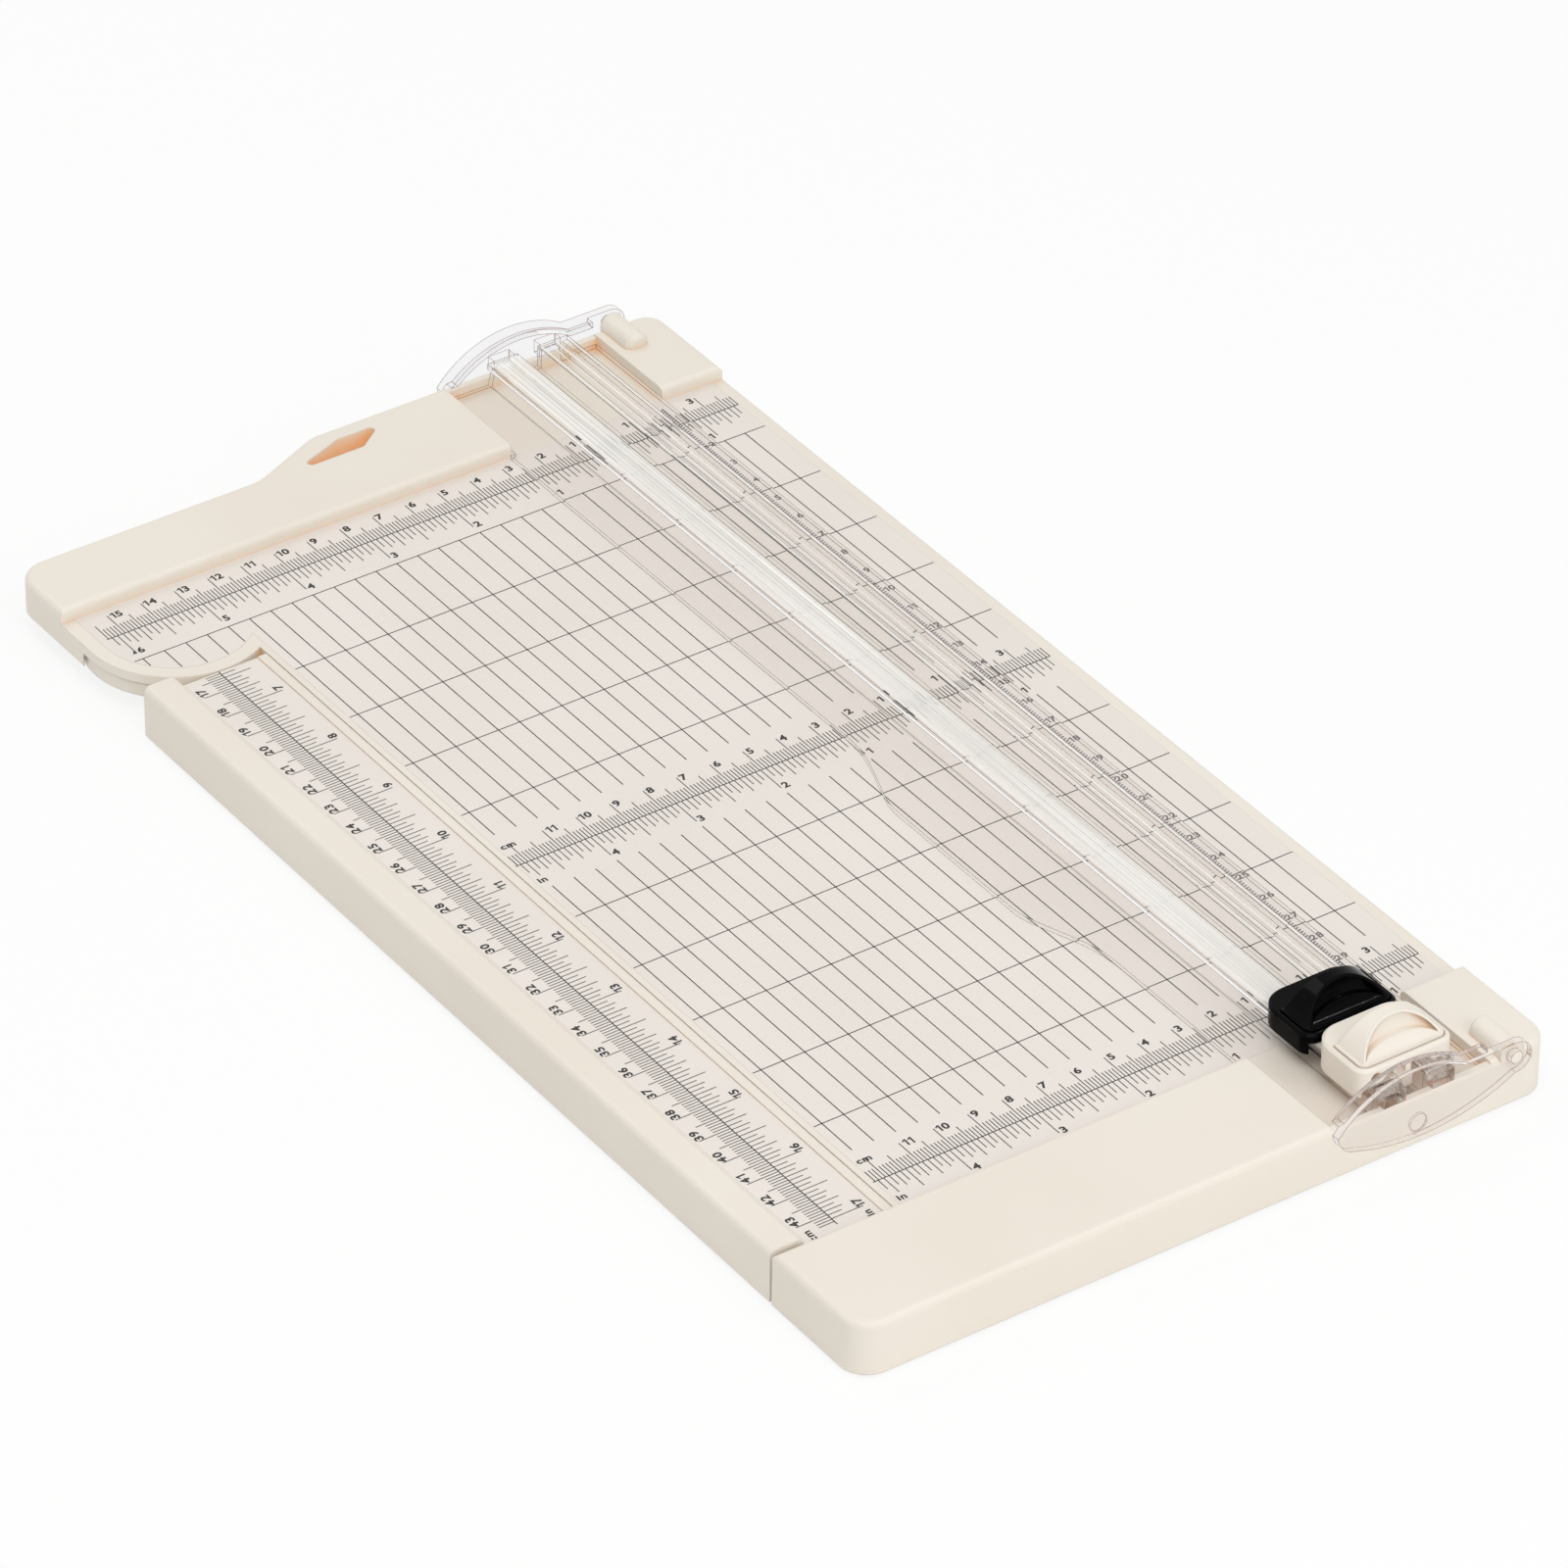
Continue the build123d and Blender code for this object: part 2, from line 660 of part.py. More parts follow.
def knob(centre_y, lift):
    """The pressed part of a carriage: a half-round thumb grip, dished towards the front, on a plate."""
    near = centre_y - half_length
    far = centre_y + half_length
    low = knob_bottom + lift
    high = knob_top + lift
    grip_high = high + grip_top
    rim_z = grip_high - grip_rim
    shelf_z = rim_z - dish_rise + shelf_rise
    side_view = shape(
        [
            (centre_y + grip_back_foot, low),
            (centre_y + grip_back_top, grip_high),
            (centre_y + grip_front_top, grip_high),
            (centre_y + grip_front_foot, low),
        ]
    )
    grip = across(side_view, cut_x - grip_radius, cut_x + grip_radius)
    grip &= rod(cut_x, grip_high - grip_radius, grip_radius, near, far)
    dish_arc = arc_radius(dish_half, dish_rise)
    shelf_arc = arc_radius(dish_half, shelf_rise)
    dish_zone = rod(cut_x, rim_z - dish_arc, dish_arc, near, far)
    dish_zone &= block(cut_x - dish_half, cut_x + dish_half, near, far, rim_z - dish_rise, above)
    shelf_zone = dish_zone & rod(cut_x, shelf_z - shelf_arc, shelf_arc, near, far)
    dish = roller(centre_y - dish_setback - dish_radius, high + dish_height, dish_radius)
    shelf = roller(centre_y - shelf_setback - shelf_radius, high + shelf_height, shelf_radius)
    grip -= dish & (dish_zone - shelf_zone)
    grip -= shelf & shelf_zone
    plan = front_pad(collar + knob_play, centre_y, grip_back_foot)
    return rise(plan, low, high) + (grip & rise(plan, low, above))


def holder(centre_y, slot_width, lift):
    """The stem under a knob, slotted for its blade or tip."""
    half = holder_length / 2
    seat = half - holder_end
    middle = centre_y - holder_shift
    stem = block(cut_x - holder_half, cut_x + holder_half, middle - half, middle + half,
                 holder_bottom, knob_bottom + lift)
    return stem - block(cut_x - slot_width / 2, cut_x + slot_width / 2, middle - seat, middle + seat,
                        0, holder_bottom + blade_seat)


def springs(centre_y, lift):
    """Two arched leaf springs between the saddle and the knob, one on each side of the stem."""
    foot = saddle_top + lift
    crest = knob_bottom + lift - pin_play
    middle = centre_y - holder_shift
    near_foot = middle - spring_length / 2
    far_foot = middle + spring_length / 2
    low = [(near_foot, foot), (middle, crest - spring_thickness), (far_foot, foot)]
    high = [(y, z + spring_thickness) for y, z in low]
    outline = ThreePointArc(*low) + Line(low[2], high[2]) + ThreePointArc(*high) + Line(high[0], low[0])
    strip = make_face(outline)
    pair = Part()
    for side in (-1, 1):
        x = cut_x + side * spring_offset
        pair += across(strip, x - spring_width / 2, x + spring_width / 2)
    return pair


carriages = [("cut", cut_y, blade_thickness, cut_lift), ("score", score_y, tip_thickness, 0)]
for name, centre_y, thickness, lift in carriages:
    save(f"{name}_shuttle", shuttle(centre_y, lift))
    save(f"{name}_knob", knob(centre_y, lift))
    save(f"{name}_springs", springs(centre_y, lift))
    save(f"{name}_holder", holder(centre_y, thickness, lift))

# Cutting blade: a small upright plate with a pointed lower edge.
blade_half = holder_length / 2 - holder_end
blade_y = cut_y - holder_shift
blade_top = holder_bottom + blade_seat
edge_top = blade_bottom + blade_half
blade_outline = [
    (blade_y - blade_half, blade_top),
    (blade_y - blade_half, edge_top),
    (blade_y, blade_bottom),
    (blade_y + blade_half, edge_top),
    (blade_y + blade_half, blade_top),
]
save("cut_blade", across(shape(blade_outline), cut_x - blade_thickness / 2, cut_x + blade_thickness / 2))

# Scoring tip: a blunt tongue with a round lower end.
tip_y = score_y - holder_shift
tip_near = tip_y - blade_half
tip_far = tip_y + blade_half
tip_outline = Line((tip_near, blade_top), (tip_near, edge_top))
tip_outline += ThreePointArc((tip_near, edge_top), (tip_y, blade_bottom), (tip_far, edge_top))
tip_outline += Line((tip_far, edge_top), (tip_far, blade_top))
tip_outline += Line((tip_far, blade_top), (tip_near, blade_top))
save("score_tip", across(make_face(tip_outline), cut_x - tip_thickness / 2, cut_x + tip_thickness / 2))
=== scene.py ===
"""Dresses the paper cutter: plastics, printed scales, moulded marks, floor, light and camera."""

import json
import math

import bmesh
import bpy
from mathutils import Matrix, Vector


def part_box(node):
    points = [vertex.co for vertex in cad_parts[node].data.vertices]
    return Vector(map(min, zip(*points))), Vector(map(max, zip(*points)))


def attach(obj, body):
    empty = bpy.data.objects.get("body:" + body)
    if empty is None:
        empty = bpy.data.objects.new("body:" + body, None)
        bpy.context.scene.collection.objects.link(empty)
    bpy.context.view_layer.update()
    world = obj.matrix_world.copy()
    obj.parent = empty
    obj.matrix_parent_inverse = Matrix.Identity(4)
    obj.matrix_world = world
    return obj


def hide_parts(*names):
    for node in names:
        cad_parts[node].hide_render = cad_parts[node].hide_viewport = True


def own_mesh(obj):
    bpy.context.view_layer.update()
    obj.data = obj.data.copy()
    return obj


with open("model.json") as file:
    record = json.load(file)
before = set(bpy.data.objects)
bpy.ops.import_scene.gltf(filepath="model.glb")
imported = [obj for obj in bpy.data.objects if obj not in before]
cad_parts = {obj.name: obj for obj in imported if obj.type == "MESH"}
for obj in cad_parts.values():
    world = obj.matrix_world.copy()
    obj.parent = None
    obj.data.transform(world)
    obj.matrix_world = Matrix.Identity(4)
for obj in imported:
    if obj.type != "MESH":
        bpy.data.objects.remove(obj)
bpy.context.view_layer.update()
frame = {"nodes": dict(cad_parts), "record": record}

nodes = frame["nodes"]
scene = bpy.context.scene
MM = 0.001

# Places that print and marks count from, in millimetres: the cut line and the rear scale's base line.
deck_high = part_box("deck_sheet")[1] / MM
mat_low, mat_high = (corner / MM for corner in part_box("cutting_mat"))
rail_low, rail_high = (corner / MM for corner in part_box("rail_track"))
arm_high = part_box("arm_sheet")[1] / MM
SCALE_SETBACK = 12.2
INK_LIFT = 0.02
CUT_X = (mat_low.x + mat_high.x) / 2
BASE_Y = deck_high.y - SCALE_SETBACK


def srgb(red, green, blue):
    """A colour given as it looks on screen, in linear values."""
    def line(value):
        share = value / 255
        return share / 12.92 if share <= 0.04045 else ((share + 0.055) / 1.055) ** 2.4
    return (line(red), line(green), line(blue), 1.0)


# Materials.

def material(name):
    """A new node material: the material, its tree and its main shader."""
    made = bpy.data.materials.new(name)
    made.use_nodes = True
    return made, made.node_tree, made.node_tree.nodes["Principled BSDF"]


def node(tree, kind, **values):
    """A shader node with some of its inputs or settings given."""
    made = tree.nodes.new(kind)
    for key, value in values.items():
        socket = made.inputs.get(key.replace("_", " "))
        if socket is not None:
            socket.default_value = value
        else:
            setattr(made, key, value)
    return made


def ramp(tree, factor, stops):
    """A colour ramp of (place, colour) stops behind a factor."""
    made = tree.nodes.new("ShaderNodeValToRGB")
    elements = made.color_ramp.elements
    while len(elements) < len(stops):
        elements.new(0.5)
    for element, (place, colour) in zip(elements, stops):
        element.position = place
        element.color = colour
    tree.links.new(factor, made.inputs["Fac"])
    return made


# A mix node's sockets for colours: its factor and two colours, and its result.
MIX_INPUTS, MIX_RESULT = (0, 6, 7), 2


def mix_colour(tree, factor, first, second):
    """A colour mixed from two colours or sockets."""
    made = node(tree, "ShaderNodeMix", data_type="RGBA")
    for place, value in zip(MIX_INPUTS, (factor, first, second)):
        if isinstance(value, bpy.types.NodeSocket):
            tree.links.new(value, made.inputs[place])
        else:
            made.inputs[place].default_value = value
    return made.outputs[MIX_RESULT]


def grain(tree, shader, scale, strength, distance, edge=0.0):
    """Fine moulding grain as bump, over edges softened by a small radius."""
    place = node(tree, "ShaderNodeTexCoord")
    noise = node(tree, "ShaderNodeTexNoise", Scale=scale, Detail=3.0)
    tree.links.new(place.outputs["Object"], noise.inputs["Vector"])
    bump = node(tree, "ShaderNodeBump", Strength=strength, Distance=distance)
    tree.links.new(noise.outputs["Fac"], bump.inputs["Height"])
    if edge:
        soft = node(tree, "ShaderNodeBevel", samples=6, Radius=edge)
        tree.links.new(soft.outputs["Normal"], bump.inputs["Normal"])
    tree.links.new(bump.outputs["Normal"], shader.inputs["Normal"])
    return place, noise


def blotches(tree, place, scale, low, high):
    """Slow colour drift between two shades."""
    noise = node(tree, "ShaderNodeTexNoise", Scale=scale, Detail=2.0)
    tree.links.new(place.outputs["Object"], noise.inputs["Vector"])
    return ramp(tree, noise.outputs["Fac"], [(0.3, low), (0.7, high)]).outputs["Color"]


def streaks(tree, place, stretch, detail):
    """Noise drawn out along the object."""
    drawn = node(tree, "ShaderNodeMapping", Scale=stretch)
    tree.links.new(place.outputs["Object"], drawn.inputs["Vector"])
    lines = node(tree, "ShaderNodeTexNoise", Scale=1.0, Detail=detail)
    tree.links.new(drawn.outputs["Vector"], lines.inputs["Vector"])
    return lines.outputs["Fac"]


def uneven_shine(tree, shader, place, scale, detail, smoothest, roughest):
    """Roughness that wanders between two values."""
    noise = node(tree, "ShaderNodeTexNoise", Scale=scale, Detail=detail)
    tree.links.new(place.outputs["Object"], noise.inputs["Vector"])
    spread = node(tree, "ShaderNodeMapRange")
    spread.inputs["To Min"].default_value = smoothest
    spread.inputs["To Max"].default_value = roughest
    tree.links.new(noise.outputs["Fac"], spread.inputs["Value"])
    tree.links.new(spread.outputs["Result"], shader.inputs["Roughness"])


def ivory_plastic(name, painted_crevice_shade, painted_hollow_glow, glow):
    """Ivory moulded plastic with painted shade in its crevices and a painted glow in its hollows, both
    standing in for light that passes through it.
    """
    made, tree, shader = material(name)
    place, _ = grain(tree, shader, 900.0, 0.10, 0.0004, 0.0005)
    body = blotches(tree, place, 14.0, srgb(235, 227, 215), srgb(239, 232, 221))
    # Painted shade: where the part's own nearby faces close round a point, it takes the crevice colour.
    near = node(tree, "ShaderNodeAmbientOcclusion", samples=8, only_local=True, Distance=0.0045)
    line = ramp(tree, near.outputs["AO"], [(0.1, (0, 0, 0, 1)), (0.72, (1, 1, 1, 1))])
    crevice_shaded = mix_colour(tree, line.outputs["Color"], painted_crevice_shade, body)
    # Painted glow: deep hollows take the hollow colour and give off light of it, though no lamp is there.
    far = node(tree, "ShaderNodeAmbientOcclusion", samples=8, only_local=True, Distance=0.018)
    deep = ramp(tree, far.outputs["AO"], [(0.2, (1, 1, 1, 1)), (0.55, (0, 0, 0, 1))])
    colour = mix_colour(tree, deep.outputs["Color"], crevice_shaded, painted_hollow_glow)
    tree.links.new(colour, shader.inputs["Base Color"])
    painted_glow_strength = node(tree, "ShaderNodeMath", operation="MULTIPLY")
    painted_glow_strength.inputs[1].default_value = glow
    tree.links.new(deep.outputs["Color"], painted_glow_strength.inputs[0])
    tree.links.new(painted_glow_strength.outputs[0], shader.inputs["Emission Strength"])
    shader.inputs["Emission Color"].default_value = painted_hollow_glow
    uneven_shine(tree, shader, place, 40.0, 4.0, 0.40, 0.52)
    shader.inputs["Specular IOR Level"].default_value = 0.4
    return made


def printed_sheet():
    """Pale satin plastic sheet under the print."""
    made, tree, shader = material("printed_sheet")
    place, _ = grain(tree, shader, 1400.0, 0.06, 0.0002)
    body = blotches(tree, place, 22.0, srgb(233, 226, 219), srgb(237, 230, 224))
    tree.links.new(body, shader.inputs["Base Color"])
    shader.inputs["Roughness"].default_value = 0.42
    shader.inputs["Specular IOR Level"].default_value = 0.35
    return made


def mat_plastic():
    """Soft grey strip under the cut, marked by fine lengthwise scratches."""
    made, tree, shader = material("mat_plastic")
    place, _ = grain(tree, shader, 1600.0, 0.2, 0.0003)
    lines = streaks(tree, place, (900.0, 12.0, 900.0), 4.0)
    colour = ramp(tree, lines, [(0.35, srgb(206, 199, 190)), (0.7, srgb(222, 216, 207))])
    tree.links.new(colour.outputs["Color"], shader.inputs["Base Color"])
    shader.inputs["Roughness"].default_value = 0.55
    return made


def foot_rubber():
    """Dark rubber with a dusty, pitted surface."""
    made, tree, shader = material("foot_rubber")
    _, noise = grain(tree, shader, 700.0, 0.5, 0.0006)
    colour = ramp(tree, noise.outputs["Fac"], [(0.3, srgb(38, 37, 36)), (0.75, srgb(58, 56, 54))])
    tree.links.new(colour.outputs["Color"], shader.inputs["Base Color"])
    shader.inputs["Roughness"].default_value = 0.85
    return made


def let_light_through(tree, surface):
    """Lamp, scattered and mirrored light pass straight through the surface; direct sight meets the shader."""
    path = node(tree, "ShaderNodeLightPath")
    through = node(tree, "ShaderNodeBsdfTransparent", Color=(0.985, 0.982, 0.98, 1.0))
    for ray in ("Is Reflection Ray", "Is Diffuse Ray", "Is Shadow Ray"):
        either = node(tree, "ShaderNodeMixShader")
        tree.links.new(path.outputs[ray], either.inputs[0])
        tree.links.new(surface, either.inputs[1])
        tree.links.new(through.outputs["BSDF"], either.inputs[2])
        surface = either.outputs["Shader"]
    tree.links.new(surface, tree.nodes["Material Output"].inputs["Surface"])


def clear_plastic(name, tint, bend):
    """Clear moulded plastic of some tint that bends light by some index."""
    made, tree, shader = material(name)
    shader.inputs["Base Color"].default_value = tint
    shader.inputs["Transmission Weight"].default_value = 1.0
    shader.inputs["Roughness"].default_value = 0.0
    shader.inputs["IOR"].default_value = bend
    shader.inputs["Specular IOR Level"].default_value = 1.0
    let_light_through(tree, shader.outputs["BSDF"])
    return made


def film(name, dark, pale, thin, thick):
    """A thin streaked film on clear plastic, of two shades and of a least and greatest cover: colour for
    moulded marks, and painted sheen and painted edge shade.
    """
    made, tree, shader = material(name)
    place = node(tree, "ShaderNodeTexCoord")
    lines = streaks(tree, place, (2600.0, 8.0, 2600.0), 3.0)
    colour = ramp(tree, lines, [(0.35, dark), (0.65, pale)])
    tree.links.new(colour.outputs["Color"], shader.inputs["Base Color"])
    least, most = (thin, thin, thin, 1), (thick, thick, thick, 1)
    cover = ramp(tree, lines, [(0.3, least), (0.7, most)])
    tree.links.new(cover.outputs["Color"], shader.inputs["Alpha"])
    shader.inputs["Roughness"].default_value = 0.35
    let_light_through(tree, shader.outputs["BSDF"])
    return made


def black_plastic():
    """Glossy black moulded plastic with faint ripples and rub marks."""
    made, tree, shader = material("black_plastic")
    place, _ = grain(tree, shader, 350.0, 0.08, 0.0004, 0.0004)
    colour = blotches(tree, place, 160.0, srgb(4, 4, 5), srgb(9, 9, 10))
    tree.links.new(colour, shader.inputs["Base Color"])
    uneven_shine(tree, shader, place, 240.0, 5.0, 0.06, 0.13)
    shader.inputs["Specular IOR Level"].default_value = 0.04
    return made


def steel():
    """Bright steel, brushed along the object."""
    made, tree, shader = material("steel")
    place = node(tree, "ShaderNodeTexCoord")
    lines = streaks(tree, place, (2500.0, 80.0, 2500.0), 4.0)
    colour = ramp(tree, lines, [(0.3, srgb(172, 173, 176)), (0.7, srgb(208, 208, 210))])
    tree.links.new(colour.outputs["Color"], shader.inputs["Base Color"])
    bump = node(tree, "ShaderNodeBump", Strength=0.15, Distance=0.0002)
    tree.links.new(lines, bump.inputs["Height"])
    tree.links.new(bump.outputs["Normal"], shader.inputs["Normal"])
    shader.inputs["Metallic"].default_value = 1.0
    shader.inputs["Roughness"].default_value = 0.3
    return made


def ink():
    """Black screen-print ink, thinner in places."""
    made, tree, shader = material("print_ink")
    place = node(tree, "ShaderNodeTexCoord")
    colour = blotches(tree, place, 900.0, srgb(16, 15, 15), srgb(34, 33, 33))
    tree.links.new(colour, shader.inputs["Base Color"])
    shader.inputs["Roughness"].default_value = 0.5
    return made


# The ivory's second and third colours are its painted crevice shade and painted hollow glow.
finishes = {
    "ivory_plastic": ivory_plastic("ivory_plastic", srgb(228, 184, 146), srgb(228, 184, 138), 0.24),
    "printed_sheet": printed_sheet(),
    "mat_plastic": mat_plastic(),
    "foot_rubber": foot_rubber(),
    "clear_plastic": clear_plastic("clear_plastic", (0.972, 0.965, 0.96, 1.0), 1.09),
    "black_plastic": black_plastic(),
    "steel": steel(),
}
# The knob's ivory has fainter painted crevice shade and no painted glow; the shuttle's hollows have a
# stronger painted glow.
knob_ivory = ivory_plastic("knob_ivory", srgb(234, 210, 186), srgb(232, 206, 180), 0.0)
shuttle_ivory = ivory_plastic("shuttle_ivory", srgb(234, 200, 166), srgb(242, 186, 128), 0.35)
front_plastic = clear_plastic("front_plastic", (0.955, 0.94, 0.945, 1.0), 1.16)
rear_plastic = clear_plastic("rear_plastic", (0.92, 0.92, 0.93, 1.0), 1.09)
# Films on the clear rail: the first two colour its moulded marks, the sheen is a painted sheen, and the edge
# and rim films are painted shade.
mark_plastic = film("mark_plastic", srgb(84, 78, 88), srgb(112, 106, 116), 0.55, 0.75)
number_film = film("number_film", srgb(58, 54, 60), srgb(84, 78, 86), 0.8, 0.95)
painted_sheen = film("painted_sheen", srgb(248, 247, 243), srgb(255, 255, 252), 0.4, 0.95)
painted_edge_shade = film("painted_edge_shade", srgb(96, 88, 84), srgb(140, 130, 124), 0.6, 0.85)
painted_rim_shade = film("painted_rim_shade", srgb(150, 128, 124), srgb(196, 174, 168), 0.5, 0.8)
print_ink = ink()
for part in frame["record"]["subparts"]:
    for place in nodes[part["node"]].material_slots:
        place.material = finishes[part["material_slot"]]
own_finishes = {
    "front_end_plate": front_plastic,
    "rear_end_plate": rear_plastic,
    "cut_knob": knob_ivory,
    "cut_shuttle": shuttle_ivory,
}
for name, finish in own_finishes.items():
    for place in nodes[name].material_slots:
        place.material = finish

# A hair's gap between the rail and its end plates, since clear faces that touch would show as black.
END_GAP = 0.06
gap = nodes["rail_track"].modifiers.new("end_gap", "SIMPLE_DEFORM")
gap.deform_method = "STRETCH"
gap.deform_axis = "Y"
gap.lock_x = True
gap.lock_z = True
gap.factor = -2 * END_GAP * MM

# Leaf springs copied from the part's springs, riding on their slider in place of the hidden springs.
for name in ("cut", "score"):
    solid = nodes[f"{name}_springs"]
    leaf = bpy.data.objects.new(f"{name}_leaf", solid.data.copy())
    leaf.matrix_world = solid.matrix_world
    scene.collection.objects.link(leaf)
    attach(leaf, f"{name}_slider")
    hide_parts(f"{name}_springs")
    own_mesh(leaf)


# Print and moulded marks.

def glyph_shapes(letters, weight):
    """Outline meshes of single characters, one unit high and starting at x = 0."""
    shapes = {}
    for letter in letters:
        words = bpy.data.curves.new("glyph", "FONT")
        words.body = letter
        words.resolution_u = 3
        words.offset = weight
        holder = bpy.data.objects.new("glyph", words)
        scene.collection.objects.link(holder)
        graph = bpy.context.evaluated_depsgraph_get()
        mesh = bpy.data.meshes.new_from_object(holder.evaluated_get(graph))
        points = [Vector((v.co.x, v.co.y)) for v in mesh.vertices]
        shapes[letter] = (points, [tuple(face.vertices) for face in mesh.polygons])
        bpy.data.objects.remove(holder)
        bpy.data.curves.remove(words)
        bpy.data.meshes.remove(mesh)
    foot = min(point.y for point in shapes["0"][0])
    height = max(point.y for point in shapes["0"][0]) - foot
    for letter, (points, faces) in shapes.items():
        corner = Vector((min(point.x for point in points), foot))
        shapes[letter] = ([(point - corner) / height for point in points], faces)
    return shapes


# The figure 1 is a stem with a flag. Characters are widened, and set apart by a share of their height.
BOLDNESS = 0.036
GLYPHS = glyph_shapes("0123456789cmin", BOLDNESS)
STEM = ((0.24, 0.0), (0.42, 0.0), (0.42, 1.0), (0.28, 1.0), (0.24, 0.78))
FLAG = ((0.0, 0.62), (0.0, 0.78))
GLYPHS["1"] = ([Vector(spot) for spot in STEM + FLAG], [(0, 1, 2, 3, 4), (4, 3, 6, 5)])
STRETCH = 1.14
SPACING = 0.14


class Marks:
    """Flat strokes, digits and ridges, in millimetres, gathered into one mesh."""

    def __init__(self, z):
        self.z = z
        self.points = []
        self.faces = []

    def add(self, points, faces):
        first = len(self.points)
        self.points.extend(points)
        self.faces.extend(tuple(first + index for index in face) for face in faces)

    def stroke(self, start, end, width):
        """A straight line of some width."""
        a, b = Vector(start), Vector(end)
        side = (b - a).normalized().orthogonal() * width / 2
        corners = [a - side, b - side, b + side, a + side]
        self.add([(p.x, p.y, self.z) for p in corners], [(0, 1, 2, 3)])

    def words(self, text, centre, height, turn=0.0):
        """Characters side by side about a centre, turned about it."""
        widths = [max(point.x for point in GLYPHS[letter][0]) * STRETCH for letter in text]
        total = sum(widths) + SPACING * (len(text) - 1)
        rotate = Matrix.Rotation(turn, 2)
        x = -total / 2
        for letter, width in zip(text, widths):
            points, faces = GLYPHS[letter]
            placed = []
            for point in points:
                spot = rotate @ Vector(((x + point.x * STRETCH) * height, (point.y - 0.5) * height))
                placed.append((centre[0] + spot.x, centre[1] + spot.y, self.z))
            self.add(placed, faces)
            x += width + SPACING

    def ridge(self, start, end, width, height):
        """A low bar with a sharp back, standing on the surface."""
        a, b = Vector(start), Vector(end)
        side = (b - a).normalized().orthogonal() * width / 2
        foot = [a - side, b - side, b + side, a + side]
        back = [a, b]
        points = [(p.x, p.y, self.z) for p in foot] + [(p.x, p.y, self.z + height) for p in back]
        self.add(points, [(0, 1, 5, 4), (2, 3, 4, 5), (0, 4, 3), (1, 2, 5), (3, 2, 1, 0)])

    def piece(self, name, body, finish):
        """The gathered marks as one object that rides on a body."""
        mesh = bpy.data.meshes.new(name)
        mesh.from_pydata([Vector(point) * MM for point in self.points], [], self.faces)
        mesh.materials.append(finish)
        made = bpy.data.objects.new(name, mesh)
        scene.collection.objects.link(made)
        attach(made, body)


# Print on the deck: line widths, heights of digits and units, and ticks as (every so many steps, reach).
TICK, BASELINE, GRID = 0.27, 0.30, 0.31
DIGIT = 2.5
UNIT = 0.9 * DIGIT
CM = 10.0
INCH = 25.4
SIXTEENTH = INCH / 16
CM_TICKS = ((10, 8.95), (5, 6.6), (1, 4.4))
INCH_TICKS = ((16, 9.1), (8, 7.6), (4, 6.4), (2, 5.2), (1, 4.0))
PRINT_RIGHT = 38.0
CM_ROW, INCH_ROW = 8.3, -8.57
ONE_DIGIT, TWO_DIGITS = 1.65, 2.3
RIGHT_CM, RIGHT_INCH = (1, 2, 3), (1,)
CM_WORD, IN_WORD = (-120.5, 8.5), (-121.3, -8.2)
deck = Marks(deck_high.z + INK_LIFT)


def tick_reach(step, kinds):
    """How far a tick reaches: as the first kind whose spacing divides its step."""
    return next(reach for every, reach in kinds if step % every == 0)


def deck_scale(base_y, left_end, last_cm, last_inch, units):
    """One scale across the deck, counted both ways from the cut line."""
    deck.stroke((CUT_X + left_end, base_y), (CUT_X + PRINT_RIGHT, base_y), BASELINE)
    for step in range(-int(PRINT_RIGHT), int(-left_end) + 1):
        if step:
            x = CUT_X - step
            deck.stroke((x, base_y), (x, base_y + tick_reach(step, CM_TICKS)), TICK)
    for step in range(-int(PRINT_RIGHT / SIXTEENTH), int(-left_end / SIXTEENTH) + 1):
        if step:
            x = CUT_X - step * SIXTEENTH
            deck.stroke((x, base_y), (x, base_y - tick_reach(step, INCH_TICKS)), TICK)
    for number in range(1, last_cm + 1):
        shift = ONE_DIGIT if number < 10 else TWO_DIGITS
        deck.words(str(number), (CUT_X - CM * number + shift, base_y + CM_ROW), DIGIT)
    for number in range(1, last_inch + 1):
        deck.words(str(number), (CUT_X - INCH * number + ONE_DIGIT, base_y + INCH_ROW), DIGIT)
    for number in RIGHT_CM:
        deck.words(str(number), (CUT_X + CM * number - ONE_DIGIT, base_y + CM_ROW), DIGIT)
    for number in RIGHT_INCH:
        deck.words(str(number), (CUT_X + INCH * number - ONE_DIGIT, base_y + INCH_ROW), DIGIT)
    if units:
        for word, (x, y) in (("cm", CM_WORD), ("in", IN_WORD)):
            deck.words(word, (CUT_X + x, base_y + y), UNIT)


# The rear scale runs on over the round corner, the middle and front ones end before the arm.
LONG_LEFT, SHORT_LEFT = -155.5, -123.7
MIDDLE_Y, FRONT_Y = BASE_Y - 139.2, BASE_Y - 291.6
deck_scale(BASE_Y, LONG_LEFT, last_cm=15, last_inch=6, units=False)
deck_scale(MIDDLE_Y, SHORT_LEFT, last_cm=11, last_inch=4, units=True)
deck_scale(FRONT_Y, SHORT_LEFT, last_cm=11, last_inch=4, units=True)

